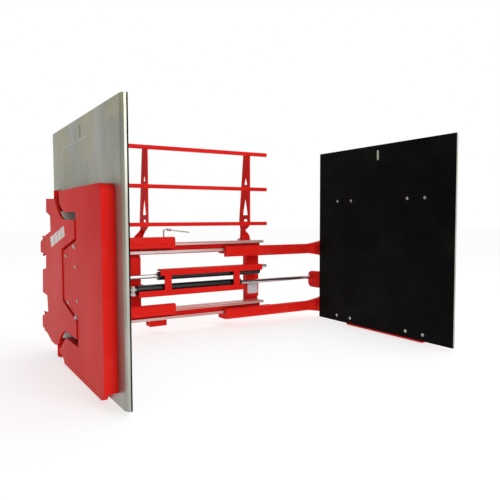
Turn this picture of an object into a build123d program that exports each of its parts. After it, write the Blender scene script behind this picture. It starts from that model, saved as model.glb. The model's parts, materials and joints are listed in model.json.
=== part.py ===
from build123d import *
import os

# Carton clamp for a lift truck: two big flat pads on sliding arms squeeze the load between them.
# Millimetres. X runs along the rails, -Y points at the load, +Z is up. The origin lies on the face that rests
# against the truck's carriage, on the centre line, level with the top edge of the carriage's upper bar.

os.makedirs("parts", exist_ok=True)

# Frame
rail_half = 500
rail_web_half = 484
rail_front = -115
rail_back = -35
rail_height = 67
rail_flange = 18
rail_web = 24
groove_width = 20
groove_depth = 7
upper_rail_z = -8.5
lower_rail_z = -439
upright_width = 103
upright_inner = 395
upright_front = -48
frame_bottom = -482
frame_top = 20
carriage_bar_height = 72

# Carriage hooks, for a 508 mm high truck carriage
carriage_bar_edge = -508
hook_gap = 23
hook_lip = 22
hook_thick = 20
corner_relief = 1
relief_width = 3
upper_hook_x = 200
upper_hook_width = 130
lower_hook_x = 273
lower_hook_width = 118
lower_hook_bottom = -528

# Cylinders and their cradle
barrel_radius = 28
bore_radius = 22
rod_radius = 14
running_gap = 0.05
cylinder_y = -100
upper_cylinder_z = -187
lower_cylinder_z = -267
upper_cylinder = (-302, 464)
lower_cylinder = (311, -446)
gland_flange = 18
gland_spigot = 25
cap_thick = 10
piston_length = 30
piston_start = 53
cradle_front = -155
cradle_plate = 12
cradle_depth = 60
strap_width = 47
strap_x = (-251, 256)

# Backrest
backrest_half = 500
backrest_tube = 25
backrest_wall = 3
backrest_y = -145
backrest_z = (624, 383, 144.5)
post_x = 374
post_thick = 10

# Arms
bar_front = -150
bar_back = -118.5
wall_back = -38
arm_outer = 1001
left_inner_end = 197
right_inner_end = 174
link_thick = 14
flare_start = 885
flare_rise = 19
groove_from_edge = 26
front_groove = 3
engaged_to = 560
liner_gap = 0.5
lug_inner = 946
lug_eye = 30
lug_height = 122

# Pads
pad_front = -1400
pad_depth = 1181
pad_bottom = -552
pad_height = 1200
pad_face = 927
rubber_thick = 6
plate_thick = 20
slot_y = -802
slot_z = 584
slot_size = (22, 67)
housing_thick = 57
housing_front = -1315
housing_rear = -520
housing_bottom = -502
housing_top = 320
housing_corner = 38
tight_corner = 10
housing_floor = 988
pivot_x = 977
pivot_y = -434
pin_radius = 12
boss_radius = 22
boss_spans = ((248, 328), (-541, -479))
web_spans = ((240, 318), (-500, -445))
ear_spans = ((221, 244), (-475, -452))
ear_front = -464
screw_radius = 5
screw_head = 10
screw_rows = (-513, 299)
screw_columns = (-1187, -1053, -553, -415)
link_middle_z = -89.5
link_front = -912

housing_inner = pad_face + rubber_thick + plate_thick
housing_outer = housing_inner + housing_thick
link_outer = arm_outer + link_thick
rail_middle_y = (rail_front + rail_back) / 2


def keep(piece, label):
    """Give a finished piece its name and write its file."""
    piece.label = label
    export_step(piece, f"parts/{label}.step")


# ---------------------------------------------------------------- frame

def make_rail(centre):
    """I-section rail with a shallow guide groove along each flange."""
    with BuildPart() as rail:
        with BuildSketch(Plane.YZ.offset(-rail_half)):
            with Locations(
                (rail_middle_y, centre + (rail_height - rail_flange) / 2),
                (rail_middle_y, centre - (rail_height - rail_flange) / 2),
            ):
                Rectangle(rail_back - rail_front, rail_flange)
            with Locations((rail_middle_y, centre + rail_height / 2), (rail_middle_y, centre - rail_height / 2)):
                Rectangle(groove_width, 2 * groove_depth, mode=Mode.SUBTRACT)
        extrude(amount=2 * rail_half)
        with BuildSketch(Plane.YZ.offset(-rail_web_half)):
            with Locations((rail_middle_y, centre)):
                Rectangle(rail_web, rail_height - 2 * rail_flange)
        extrude(amount=2 * rail_web_half)
    return rail.part


keep(make_rail(upper_rail_z), "upper_rail")
keep(make_rail(lower_rail_z), "lower_rail")

upright_mid = upright_inner + upright_width / 2
beam_room = 56
between_beams = (lower_rail_z + beam_room, upper_rail_z - beam_room)


def make_upright(side):
    """Back plate behind both rails, thicker between the paths of the arm beams."""
    with BuildPart() as upright:
        with BuildSketch(Plane.XY.offset(frame_bottom)):
            with Locations((side * upright_mid, rail_back / 2)):
                Rectangle(upright_width, -rail_back)
        extrude(amount=frame_top - frame_bottom)
        with BuildSketch(Plane.XY.offset(between_beams[0])):
            with Locations((side * upright_mid, (upright_front + rail_back) / 2)):
                Rectangle(upright_width, rail_back - upright_front)
        extrude(amount=between_beams[1] - between_beams[0])
    return upright.part


for side, word in ((-1, "left"), (1, "right")):
    keep(make_upright(side), f"{word}_upright")

# The bar's rear face steps back above the carriage's top edge, and the hooks are relieved in that corner,
# so the bar lies flat on the carriage.
with BuildPart() as upper_carriage_bar:
    with BuildSketch(Plane.YZ.offset(-upright_inner)):
        with BuildLine():
            bar_low = frame_top - carriage_bar_height
            Polyline(
                (rail_back, bar_low), (0, bar_low), (0, corner_relief), (-corner_relief, corner_relief),
                (-corner_relief, frame_top), (rail_back, frame_top), close=True,
            )
        make_face()
    extrude(amount=2 * upright_inner)
keep(upper_carriage_bar.part, "upper_carriage_bar")

hook_bolt_radius = 8
hook_bolt_spread = 32
hook_bolt_y = -16
hook_bolt_length = 46
counterbore_radius = 13
counterbore_depth = 14

with BuildPart() as lower_carriage_bar:
    with BuildSketch(Plane.YZ.offset(-upright_inner)):
        with Locations((rail_back / 2, frame_bottom + carriage_bar_height / 2)):
            Rectangle(-rail_back, carriage_bar_height)
    extrude(amount=2 * upright_inner)
    with BuildSketch(Plane.XY.offset(frame_bottom)):
        for side in (-1, 1):
            with Locations((side * lower_hook_x, hook_bolt_y)):
                with GridLocations(2 * hook_bolt_spread, 0, 2, 1):
                    Circle(hook_bolt_radius + running_gap)
    extrude(amount=20, mode=Mode.SUBTRACT)
keep(lower_carriage_bar.part, "lower_carriage_bar")

with BuildPart() as upper_hooks:
    for side in (-1, 1):
        with BuildSketch(Plane.YZ.offset(side * upper_hook_x - upper_hook_width / 2)):
            with BuildLine():
                Polyline(
                    (-corner_relief, corner_relief), (-corner_relief, hook_thick),
                    (hook_gap + hook_lip - 8, hook_thick), (hook_gap + hook_lip, hook_thick - 8),
                    (hook_gap + hook_lip, -18), (hook_gap + 4, -18), (hook_gap, -12), (hook_gap, 0),
                    (relief_width, 0), (relief_width, corner_relief), close=True,
                )
            make_face()
        extrude(amount=upper_hook_width)
keep(upper_hooks.part, "upper_hooks")

lower_hook_top = carriage_bar_edge - 2
with BuildPart() as lower_hooks:
    for side in (-1, 1):
        with BuildSketch(Plane.YZ.offset(side * lower_hook_x - lower_hook_width / 2)):
            with BuildLine():
                Polyline(
                    (-32, lower_hook_bottom), (-32, frame_bottom), (-0.5, frame_bottom), (-0.5, lower_hook_top),
                    (hook_gap, lower_hook_top), (hook_gap, lower_hook_top + 14), (hook_gap + 4, lower_hook_top + 20),
                    (hook_gap + hook_lip, lower_hook_top + 20), (hook_gap + hook_lip, lower_hook_bottom + 6),
                    (hook_gap + hook_lip - 6, lower_hook_bottom), close=True,
                )
            make_face()
        extrude(amount=lower_hook_width)
    with BuildSketch(Plane.XY.offset(lower_hook_bottom)):
        for side in (-1, 1):
            with Locations((side * lower_hook_x, hook_bolt_y)):
                with GridLocations(2 * hook_bolt_spread, 0, 2, 1):
                    Circle(hook_bolt_radius + running_gap)
    extrude(amount=60, mode=Mode.SUBTRACT)
    with BuildSketch(Plane.XY.offset(lower_hook_bottom)):
        for side in (-1, 1):
            with Locations((side * lower_hook_x, hook_bolt_y)):
                with GridLocations(2 * hook_bolt_spread, 0, 2, 1):
                    Circle(counterbore_radius)
    extrude(amount=counterbore_depth, mode=Mode.SUBTRACT)
keep(lower_hooks.part, "lower_hooks")

with BuildPart() as lower_hook_bolts:
    for side in (-1, 1):
        for offset_x in (-hook_bolt_spread, hook_bolt_spread):
            place = (side * lower_hook_x + offset_x, hook_bolt_y)
            with BuildSketch(Plane.XY.offset(lower_hook_bottom + 1)):
                with Locations(place):
                    Circle(counterbore_radius - 1)
                    RegularPolygon(7, 6, mode=Mode.SUBTRACT)
            extrude(amount=8)
            with BuildSketch(Plane.XY.offset(lower_hook_bottom + 9)):
                with Locations(place):
                    Circle(counterbore_radius - 1)
            extrude(amount=counterbore_depth - 9)
            with BuildSketch(Plane.XY.offset(lower_hook_bottom + counterbore_depth)):
                with Locations(place):
                    Circle(hook_bolt_radius)
            extrude(amount=hook_bolt_length)
keep(lower_hook_bolts.part, "lower_hook_bolts")

# ---------------------------------------------------------------- cylinders and cradle

cradle_back = cradle_front + cradle_depth
cradle_top = (-182, -142)
cradle_bottom = (-312, -274)


def make_cradle_bar(x_from, x_to, z_low, z_high, flange_low):
    """Angle bar: an upright front flange and a flat flange over or under the barrels."""
    with BuildPart() as bar:
        with BuildSketch(Plane.YZ.offset(x_from)):
            with Locations((cradle_front, z_low)):
                Rectangle(cradle_plate, z_high - z_low, align=(Align.MIN, Align.MIN))
            with Locations((cradle_front, flange_low)):
                Rectangle(cradle_depth, cradle_plate, align=(Align.MIN, Align.MIN))
        extrude(amount=x_to - x_from)
    return bar.part


keep(make_cradle_bar(-302, 464, *cradle_top, cradle_top[1] - cradle_plate), "cradle_top_bar")
keep(make_cradle_bar(-446, 311, *cradle_bottom, cradle_bottom[0]), "cradle_bottom_bar")

with BuildPart() as cradle_straps:
    for centre in strap_x:
        with BuildSketch(Plane.XY.offset(cradle_bottom[1])):
            with Locations((centre, cradle_front + cradle_plate / 2)):
                Rectangle(strap_width, cradle_plate)
            with Locations((centre, cradle_front + cradle_plate)):
                Rectangle(cradle_plate, 33, align=(Align.CENTER, Align.MIN))
        extrude(amount=cradle_top[0] - cradle_bottom[1])
    with BuildSketch(Plane.YZ.offset(-rail_half)):
        with Locations((cylinder_y, upper_cylinder_z), (cylinder_y, lower_cylinder_z)):
            Circle(barrel_radius + running_gap)
    extrude(amount=2 * rail_half, mode=Mode.SUBTRACT)
keep(cradle_straps.part, "cradle_straps")

anchor_spans = ((405, 462, -218, cradle_top[1] - cradle_plate, upper_cylinder_z),
                (-444, -400, cradle_bottom[0] + cradle_plate, -236, lower_cylinder_z))
with BuildPart() as cylinder_anchors:
    for x_from, x_to, z_low, z_high, barrel_z in anchor_spans:
        with BuildSketch(Plane.XY.offset(z_low)):
            with Locations((x_from, cylinder_y - 5)):
                Rectangle(x_to - x_from, upright_front - cylinder_y + 5, align=(Align.MIN, Align.MIN))
        extrude(amount=z_high - z_low)
        with BuildSketch(Plane.YZ.offset(x_from)):
            with Locations((cylinder_y, barrel_z)):
                Circle(barrel_radius + running_gap)
        extrude(amount=x_to - x_from, mode=Mode.SUBTRACT)
keep(cylinder_anchors.part, "cylinder_anchors")


def add_round(x_from, x_to, z, outer, inner=0.0):
    """Add a round bar or a tube along X at a cylinder's height to the open part."""
    with Locations(Location(((x_from + x_to) / 2, cylinder_y, z), (0, 90, 0))):
        Cylinder(outer, abs(x_to - x_from))
        if inner > 0:
            Cylinder(inner, abs(x_to - x_from), mode=Mode.SUBTRACT)


cylinders = {"upper": (upper_cylinder, upper_cylinder_z), "lower": (lower_cylinder, lower_cylinder_z)}

for word, ((rod_end, base_end), z) in cylinders.items():
    inward = 1 if base_end > rod_end else -1
    with BuildPart() as barrel:
        add_round(rod_end + inward * gland_flange, base_end - inward * cap_thick, z, barrel_radius, bore_radius)
    keep(barrel.part, f"{word}_barrel")

with BuildPart() as gland_nuts:
    for (rod_end, base_end), z in cylinders.values():
        inward = 1 if base_end > rod_end else -1
        add_round(rod_end, rod_end + inward * gland_flange, z, barrel_radius, rod_radius + running_gap)
        spigot_from = rod_end + inward * gland_flange
        add_round(spigot_from, spigot_from + inward * gland_spigot, z, bore_radius - running_gap,
                  rod_radius + running_gap)
keep(gland_nuts.part, "gland_nuts")

with BuildPart() as barrel_end_caps:
    for (rod_end, base_end), z in cylinders.values():
        inward = 1 if base_end > rod_end else -1
        add_round(base_end, base_end - inward * cap_thick, z, barrel_radius)
        spigot_from = base_end - inward * cap_thick
        add_round(spigot_from, spigot_from - inward * cap_thick, z, bore_radius - running_gap)
keep(barrel_end_caps.part, "barrel_end_caps")

# Port fittings: a hex plug past the right end of the upper bar, a hex stack at the left end of the lower one.
plug_z = cradle_top[1] - 14
fitting_x = -466
with BuildPart() as port_fittings:
    with BuildSketch(Plane.YZ.offset(upper_cylinder[1])):
        with Locations((cradle_front + 18, plug_z)):
            RegularPolygon(15, 6)
    extrude(amount=16)
    with BuildSketch(Plane.YZ.offset(upper_cylinder[1] + 16)):
        with Locations((cradle_front + 18, plug_z)):
            Circle(9)
    extrude(amount=14)
    with BuildSketch(Plane.YZ.offset(upper_cylinder[1] + 30)):
        with Locations((cradle_front + 18, plug_z)):
            RegularPolygon(13, 6)
    extrude(amount=11)
    with BuildSketch(Plane.YZ.offset(lower_cylinder[1] - 32)):
        with Locations((cylinder_y, lower_cylinder_z)):
            Circle(12)
    extrude(amount=32)
    for z_from, height, radius in ((-304, 20, 18), (-284, 8, 11), (-276, 18, 17), (-258, 16, 12)):
        with BuildSketch(Plane.XY.offset(z_from)):
            with Locations((fitting_x, cylinder_y)):
                RegularPolygon(radius, 6)
        extrude(amount=height)
keep(port_fittings.part, "port_fittings")

with BuildPart() as name_plate:
    with BuildSketch(Plane.XZ.offset(-upright_front)):
        with Locations((upright_mid, -312)):
            RectangleRounded(84, 98, 5)
    extrude(amount=2)
keep(name_plate.part, "name_plate")

# ---------------------------------------------------------------- backrest

for word, z in zip(("top", "middle", "bottom"), backrest_z):
    with BuildPart() as backrest_bar:
        with BuildSketch(Plane.YZ.offset(-backrest_half)):
            with Locations((backrest_y, z)):
                RectangleRounded(backrest_tube, backrest_tube, 4)
                RectangleRounded(backrest_tube - 2 * backrest_wall, backrest_tube - 2 * backrest_wall, 1.5,
                                 mode=Mode.SUBTRACT)
        extrude(amount=2 * backrest_half)
    keep(backrest_bar.part, f"backrest_{word}_bar")

post_front = backrest_y + backrest_tube / 2
post_base = frame_top + 10
for side, word in ((-1, "left"), (1, "right")):
    with BuildPart() as backrest_post:
        with BuildSketch(Plane.YZ.offset(side * post_x - post_thick / 2)):
            with BuildLine():
                Polyline(
                    (post_front, 637), (-54, 637), (8, 165), (-8, 100), (-2, post_base),
                    (-30, post_base), (-30, 66), (-68, 98), (-112, 120), (post_front, 140), close=True,
                )
            make_face()
            with BuildLine():
                Polyline((-80, 486), (-56, 416), (-104, 416), close=True)
            make_face(mode=Mode.SUBTRACT)
            with BuildLine():
                Polyline((-76, 344), (-34, 204), (-110, 204), close=True)
            make_face(mode=Mode.SUBTRACT)
            with Locations((-76, 166)):
                SlotOverall(56, 16, mode=Mode.SUBTRACT)
        extrude(amount=post_thick)
    keep(backrest_post.part, f"{word}_backrest_post")

foot_width = 96
foot_plate_y = -22
foot_plate_thick = 10
foot_outline = ((5, post_base), (5, 122), (22, 98), (54, 66), (62, 46), (62, post_base))
with BuildPart() as backrest_feet:
    for side in (-1, 1):
        with BuildSketch(Plane.XY.offset(frame_top)):
            with Locations((side * (post_x + 22), -16)):
                Rectangle(foot_width, 32)
        extrude(amount=post_base - frame_top)
        with BuildSketch(Plane.XZ.offset(-foot_plate_y)):
            with BuildLine():
                Polyline([(side * (post_x + x), z) for x, z in foot_outline], close=True)
            make_face()
        extrude(amount=foot_plate_thick)
keep(backrest_feet.part, "backrest_feet")

with BuildPart() as backrest_bolts:
    for side in (-1, 1):
        for offset_x in (-16, 50):
            with BuildSketch(Plane.XY.offset(post_base)):
                with Locations((side * (post_x + offset_x), -11)):
                    RegularPolygon(9, 6)
            extrude(amount=8)
keep(backrest_bolts.part, "backrest_bolts")

# Hydraulic supply tube above the upper rail: block, riser, two nuts and a long level run.
supply_x = -223
supply_y = -16
supply_high = 112
supply_end = (-38, 88)
tube_radius = 5
with BuildPart() as supply_block:
    with BuildSketch(Plane.XY.offset(frame_top)):
        with Locations((supply_x, supply_y)):
            Rectangle(30, 26)
    extrude(amount=26)
    with BuildSketch(Plane.XY.offset(frame_top + 26)):
        with Locations((supply_x, supply_y)):
            RegularPolygon(11, 6)
            Circle(tube_radius, mode=Mode.SUBTRACT)
    extrude(amount=12)
keep(supply_block.part, "supply_block")

with BuildPart() as supply_tube:
    with BuildLine() as tube_path:
        FilletPolyline(
            (supply_x, supply_y, frame_top + 26), (supply_x, supply_y, supply_high),
            (supply_x + 60, supply_y, supply_high - 8), (*supply_end[:1], supply_y, supply_end[1]), radius=15,
        )
    with BuildSketch(Plane(origin=tube_path.line @ 0, z_dir=tube_path.line % 0)):
        Circle(tube_radius)
    sweep()
keep(supply_tube.part, "supply_tube")

with BuildPart() as supply_nuts:
    for offset_x in (24, 42):
        fraction_z = supply_high - 8 * offset_x / 60
        with BuildSketch(Plane(origin=(supply_x + offset_x, supply_y, fraction_z), x_dir=(0, 1, 0),
                               z_dir=(60, 0, -8))):
            RegularPolygon(10, 6)
            Circle(tube_radius, mode=Mode.SUBTRACT)
        extrude(amount=10)
keep(supply_nuts.part, "supply_nuts")

# ---------------------------------------------------------------- arms


def make_beam(side, inner_end, centre, up):
    """Hook-shaped arm beam: a front bar, a wall past the rail's flange, a guide rib and a retaining lip.
    up is 1 where the beam lies over the rail and -1 where it lies under it."""
    low = centre + up * 2.5
    high = centre + up * 72.5
    with BuildPart() as beam:
        with BuildSketch(Plane.XZ.offset(-bar_back)):
            with BuildLine():
                Polyline(
                    (side * inner_end, low), (side * inner_end, high), (side * flare_start, high),
                    (side * arm_outer, high + up * flare_rise), (side * arm_outer, low - up * flare_rise),
                    (side * flare_start, low), close=True,
                )
            make_face()
        extrude(amount=bar_back - bar_front)
        front_edge = beam.edges().filter_by(Axis.X).group_by(Axis.Y)[0].sort_by(Axis.Z)[-1 if up > 0 else 0]
        chamfer(front_edge, 12)
        if up > 0:
            groove_z = low + groove_from_edge - 2.5
            with Locations((0, bar_front, groove_z)):
                Box(2 * arm_outer, 2 * front_groove, front_groove, mode=Mode.SUBTRACT)
        wall_plane = Plane.XY.offset(min(centre + up * 38, centre + up * 52))
        with BuildSketch(wall_plane):
            with BuildLine():
                Polyline(
                    (side * inner_end, bar_back), (side * inner_end, wall_back), (side * flare_start, wall_back),
                    (side * arm_outer, bar_back + 2), (side * arm_outer, bar_back), close=True,
                )
            make_face()
        extrude(amount=14)
        with BuildSketch(Plane.XY.offset(min(centre + up * 28, centre + up * 38))):
            with BuildLine():
                Polyline(
                    (side * inner_end, rail_middle_y - 8), (side * inner_end, rail_middle_y + 8),
                    (side * engaged_to, rail_middle_y + 8), (side * engaged_to, rail_middle_y - 8), close=True,
                )
            make_face()
        extrude(amount=10)
        with BuildSketch(Plane.XY.offset(min(centre + up * 2.5, centre + up * 13))):
            with BuildLine():
                Polyline(
                    (side * inner_end, bar_back), (side * inner_end, bar_back + 22),
                    (side * engaged_to, bar_back + 22), (side * engaged_to, bar_back), close=True,
                )
            make_face()
        extrude(amount=10.5)
    return beam.part


def add_box(x_pair, y_pair, z_pair, mode=Mode.ADD):
    """Add a box to the open part, or cut one from it, given by its two ends along each axis."""
    with Locations((min(x_pair), min(y_pair), min(z_pair))):
        Box(abs(x_pair[1] - x_pair[0]), abs(y_pair[1] - y_pair[0]), abs(z_pair[1] - z_pair[0]),
            align=(Align.MIN, Align.MIN, Align.MIN), mode=mode)


def make_liners(side, inner_end, up):
    """Plastic slide strips between each beam and its rail: a front angle and a rear strip."""
    span = (side * inner_end, side * engaged_to)
    face = rail_height / 2 + liner_gap
    with BuildPart() as liners:
        for centre in (upper_rail_z, lower_rail_z):
            add_box(span, (bar_back, rail_middle_y - 8), (centre + up * face, centre + up * 38))
            add_box(span, (bar_back, rail_front - liner_gap), (centre + up * 17, centre + up * face))
            add_box(span, (rail_middle_y + 8, wall_back), (centre + up * face, centre + up * 38))
    return liners.part


def make_link(side, tab_drop):
    """Upright plate that joins both beams and carries the pad. Its rear tabs meet the beams and the rod lug."""
    twice = 2 * link_middle_z
    with BuildPart() as link:
        with BuildSketch(Plane.YZ.offset(arm_outer if side > 0 else -link_outer)):
            with BuildLine():
                Polyline(
                    (-540, 270), (-518, 283), (-312, 290), (-303, 220), (-402, 197), (-404, 118 - tab_drop),
                    (-257, 91 - tab_drop), (-127, 52 - tab_drop), (-122, -8 - tab_drop), (-275, -8 - tab_drop),
                    (-264, -87 - tab_drop), (-171, -100 - tab_drop), (-157, -232 - tab_drop),
                    (-278, -236 - tab_drop), (-293, -321 - tab_drop), (-127, -370 - tab_drop),
                    (-127, -432 - tab_drop), (-213, -440 - tab_drop), (-303, -457 - tab_drop * 0.2), (-372, -472),
                    (-463, -472), (-540, twice - 270),
                )
                ThreePointArc((-540, twice - 270), (-612, twice - 208), (-709, twice - 178))
                Polyline(
                    (-709, twice - 178), (link_front, twice - 178), (link_front, twice - 96), (-656, twice - 38),
                    (-656, 38), (link_front, 96), (link_front, 178), (-709, 178),
                )
                ThreePointArc((-709, 178), (-612, 208), (-540, 270))
            make_face()
        extrude(amount=link_thick)
        for ear_span in ear_spans:
            add_box((side * (pivot_x - boss_radius), side * arm_outer), (ear_front, ear_front + 60), ear_span)
            with Locations((side * pivot_x, pivot_y, sum(ear_span) / 2)):
                Cylinder(pin_radius, ear_span[1] - ear_span[0], mode=Mode.SUBTRACT)
    return link.part


lug_outline = ((0, -55), (0, -150), (16, -204), (55, -204), (55, -140), (30, -130), (30, -55))
rod_end_radius = 12
rod_end_length = 52
rod_nut_height = 20
rod_nut_radius = 23
piston_spigot = 9
lug_z = {"left": -171, "right": -283}
tab_drops = {"left": 0, "right": 66}


def make_lug(side, centre, rod_z):
    """Cranked lug that takes the end of the piston rod."""
    with BuildPart() as lug:
        with BuildSketch(Plane.XY.offset(centre - lug_height / 2)):
            with BuildLine():
                Polyline([(side * (lug_inner + x), y) for x, y in lug_outline], close=True)
            make_face()
        extrude(amount=lug_height)
        fillet(lug.edges().filter_by(Axis.X).group_by(Axis.Y)[-1], 40)
        with Locations(Location((side * (lug_inner + lug_eye / 2), cylinder_y, rod_z), (0, 90, 0))):
            Cylinder(rod_end_radius + running_gap, lug_eye, mode=Mode.SUBTRACT)
    return lug.part


for side, word, inner_end, up in ((-1, "left", left_inner_end, 1), (1, "right", right_inner_end, -1)):
    (rod_end, base_end), rod_z = cylinders["upper" if side < 0 else "lower"]
    keep(make_beam(side, inner_end, upper_rail_z, up), f"{word}_upper_beam")
    keep(make_beam(side, inner_end, lower_rail_z, up), f"{word}_lower_beam")
    keep(make_liners(side, inner_end, up), f"{word}_slide_liners")
    keep(make_link(side, tab_drops[word]), f"{word}_link_plate")
    keep(make_lug(side, lug_z[word], rod_z), f"{word}_rod_lug")

    piston_face = rod_end - side * piston_start
    piston_back = piston_face - side * piston_length
    with BuildPart() as rod:
        add_round(side * lug_inner, piston_face, rod_z, rod_radius)
        add_round(piston_face, piston_back, rod_z, piston_spigot)
        add_round(side * lug_inner, side * (lug_inner + rod_end_length), rod_z, rod_end_radius)
    keep(rod.part, f"{word}_rod")

    with BuildPart() as piston:
        add_round(piston_face, piston_back, rod_z, bore_radius - running_gap, piston_spigot)
    keep(piston.part, f"{word}_piston")

    nut_start = lug_inner + lug_eye + (rod_nut_height if side < 0 else 0)
    with BuildPart() as rod_nut:
        with BuildSketch(Plane.YZ.offset(side * nut_start)):
            with Locations((cylinder_y, rod_z)):
                RegularPolygon(rod_nut_radius, 6)
                Circle(rod_end_radius, mode=Mode.SUBTRACT)
        extrude(amount=rod_nut_height)
    keep(rod_nut.part, f"{word}_rod_nut")

    with BuildPart() as pivot_pins:
        for (boss_low, boss_high), (ear_low, ear_high) in zip(boss_spans, ear_spans):
            low = min(boss_low, ear_low) - 3
            high = max(boss_high, ear_high) + 3
            with Locations((side * pivot_x, pivot_y, (low + high) / 2)):
                Cylinder(pin_radius, high - low)
            head_z = high if boss_high > 0 else low
            with Locations((side * pivot_x, pivot_y, head_z)):
                Cylinder(pin_radius + 6, 5)
    keep(pivot_pins.part, f"{word}_pivot_pins")

# ---------------------------------------------------------------- pads

notch_edge = 214
notch_rise = 36
recess_gap = 9
corner_cut = -600
hollow_zones = (((-1305, -930), 49), ((-930, -640), 29))
hollow_rim = 48
web_thick = 18


def mirrored(z, way):
    """A height, or its mirror image below the link plate's middle."""
    return z if way > 0 else 2 * link_middle_z - z


def make_housing(side):
    """Pad housing: a hollow box behind the plate, recessed for the link plate, with two pivot bosses behind."""
    near = side * housing_inner if side > 0 else side * housing_outer
    with BuildPart() as housing:
        with BuildSketch(Plane.YZ.offset(near)):
            with Locations(((housing_front + housing_rear) / 2, (housing_bottom + housing_top) / 2)):
                RectangleRounded(housing_rear - housing_front, housing_top - housing_bottom, housing_corner)
            # the lower front corner is tighter than the others
            with Locations((housing_front + housing_corner, housing_bottom + housing_corner)):
                RectangleRounded(2 * housing_corner, 2 * housing_corner, tight_corner)
        extrude(amount=housing_thick)
        fillet(housing.faces().sort_by(Axis.X)[-1 if side > 0 else 0].edges(), 4)
        # open slots through to the plate, above and below the link plate
        for way in (1, -1):
            with BuildSketch(Plane.YZ.offset(near)):
                with BuildLine():
                    Polyline(
                        (-884, mirrored(184, way)), (-884, mirrored(notch_edge, way)),
                        (-690, mirrored(notch_edge, way)), (-610, mirrored(notch_edge + notch_rise, way)),
                        (housing_rear, mirrored(notch_edge + notch_rise, way)), (housing_rear, mirrored(130, way)),
                        (-620, mirrored(130, way)), (-700, mirrored(172, way)), close=True,
                    )
                make_face()
            extrude(amount=housing_thick, mode=Mode.SUBTRACT)
        # shallow recess in which the link plate lies
        recess = [
            (link_front - recess_gap, mirrored(notch_edge, 1)), (-690, mirrored(notch_edge, 1)),
            (-640, mirrored(232, 1)), (-560, mirrored(292, 1)), (housing_rear, mirrored(300, 1)),
            (housing_rear, mirrored(300, -1)), (-560, mirrored(292, -1)), (-640, mirrored(232, -1)),
            (-690, mirrored(notch_edge, -1)), (link_front - recess_gap, mirrored(notch_edge, -1)),
            (link_front - recess_gap, mirrored(96 - recess_gap, -1)), (-665, mirrored(38 - recess_gap, -1)),
            (-665, mirrored(38 - recess_gap, 1)), (link_front - recess_gap, mirrored(96 - recess_gap, 1)),
        ]
        with BuildSketch(Plane.YZ.offset(housing_floor if side > 0 else -housing_outer)):
            with BuildLine():
                Polyline(recess, close=True)
            make_face()
        extrude(amount=housing_outer - housing_floor, mode=Mode.SUBTRACT)
        # the upper rear corner is cut away, which bares the pivot boss
        add_box((side * housing_inner, side * (housing_outer + 1)), (corner_cut, housing_rear + 1),
                (notch_edge + notch_rise - 1, housing_top + 1), mode=Mode.SUBTRACT)
        for y_pair, depth in hollow_zones:
            add_box((side * housing_inner, side * (housing_inner + depth)), y_pair,
                    (housing_bottom + hollow_rim, housing_top - hollow_rim), mode=Mode.SUBTRACT)
        for (low, high), (web_low, web_high) in zip(boss_spans, web_spans):
            web_x = (side * (housing_inner + 2), side * (housing_inner + 2 + web_thick))
            add_box(web_x, (corner_cut - 20, ear_front - 6), (web_low, web_high))
            add_box(web_x, (ear_front - 6, pivot_y), (max(low, web_low) + 2, min(high, web_high) - 2))
            with Locations((side * pivot_x, pivot_y, (low + high) / 2)):
                Cylinder(boss_radius, high - low)
                Cylinder(pin_radius + running_gap, high - low, mode=Mode.SUBTRACT)
        for column in screw_columns:
            for row in screw_rows:
                with Locations(Location((side * (housing_inner + 5), column, row), (0, 90, 0))):
                    Cylinder(screw_radius + running_gap, 12, mode=Mode.SUBTRACT)
    return housing.part


def make_sheet(side, inner, thick, hole_radius, bevel):
    """One flat layer of the pad, with its lifting slot and screw holes."""
    start = side * inner if side > 0 else side * (inner + thick)
    with BuildPart() as layer:
        with BuildSketch(Plane.YZ.offset(start)):
            with Locations((pad_front + pad_depth / 2, pad_bottom + pad_height / 2)):
                Rectangle(pad_depth, pad_height)
            with Locations((slot_y, slot_z)):
                SlotOverall(slot_size[1], slot_size[0], rotation=90, mode=Mode.SUBTRACT)
            for column in screw_columns:
                for row in screw_rows:
                    with Locations((column, row)):
                        Circle(hole_radius, mode=Mode.SUBTRACT)
        extrude(amount=thick)
        if bevel:
            outer_front = layer.edges().filter_by(Axis.Z).group_by(Axis.Y)[0].sort_by(Axis.X)[-1 if side > 0 else 0]
            front_face = layer.faces().sort_by(Axis.Y)[0]
            chamfer(outer_front, 9, 24, reference=front_face)
    return layer.part


bar_outline = ((-1162, -570), (-496, -570), (-460, -534), (-460, housing_bottom), (-1202, housing_bottom),
               (-1202, -530))
bar_thick = 26
face_bolts = ((-895, 60, 10, 7), (-900, -259, 10, 7), (-730, 8, 7, 4), (-900, -32, 7, 4), (-750, -212, 7, 4),
              (-925, -182, 7, 4))

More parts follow.
